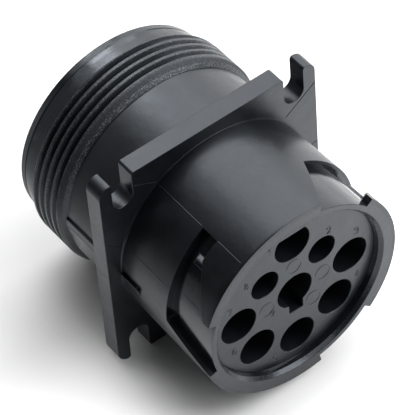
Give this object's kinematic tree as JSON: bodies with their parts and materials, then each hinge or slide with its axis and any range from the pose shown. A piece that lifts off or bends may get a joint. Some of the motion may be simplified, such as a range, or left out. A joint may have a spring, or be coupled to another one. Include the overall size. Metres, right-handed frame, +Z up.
{
  "type": "flange mount receptacle",
  "caption": "Round moulded connector receptacle with a square slotted flange, a threaded rear barrel, a bayonet front barrel and recessed pins.",
  "frame": {"origin": "on the connector's axis, in the plane of the flange's rear face", "axes": "-Y along the axis towards the mating face, +Y towards the threaded wire end, +Z up through the top contact cavity, X across"},
  "size_m": [0.0334, 0.0387, 0.0334],
  "materials": {
    "shell_plastic": "satin black glass-filled moulding with a fine grain",
    "insert_plastic": "satin black moulding",
    "seal_rubber": "dull dark grey elastomer",
    "contact_plating": "plated, lightly polished"
  },
  "bodies": {
    "root": {"shell": "shell_plastic", "dielectric_insert": "insert_plastic", "contact_retainer": "insert_plastic", "wire_seal": "seal_rubber", "contact_1": "contact_plating", "contact_2": "contact_plating", "contact_3": "contact_plating", "contact_4": "contact_plating", "contact_5": "contact_plating", "contact_6": "contact_plating", "contact_7": "contact_plating", "contact_8": "contact_plating", "contact_9": "contact_plating"}
  },
  "joints": []
}
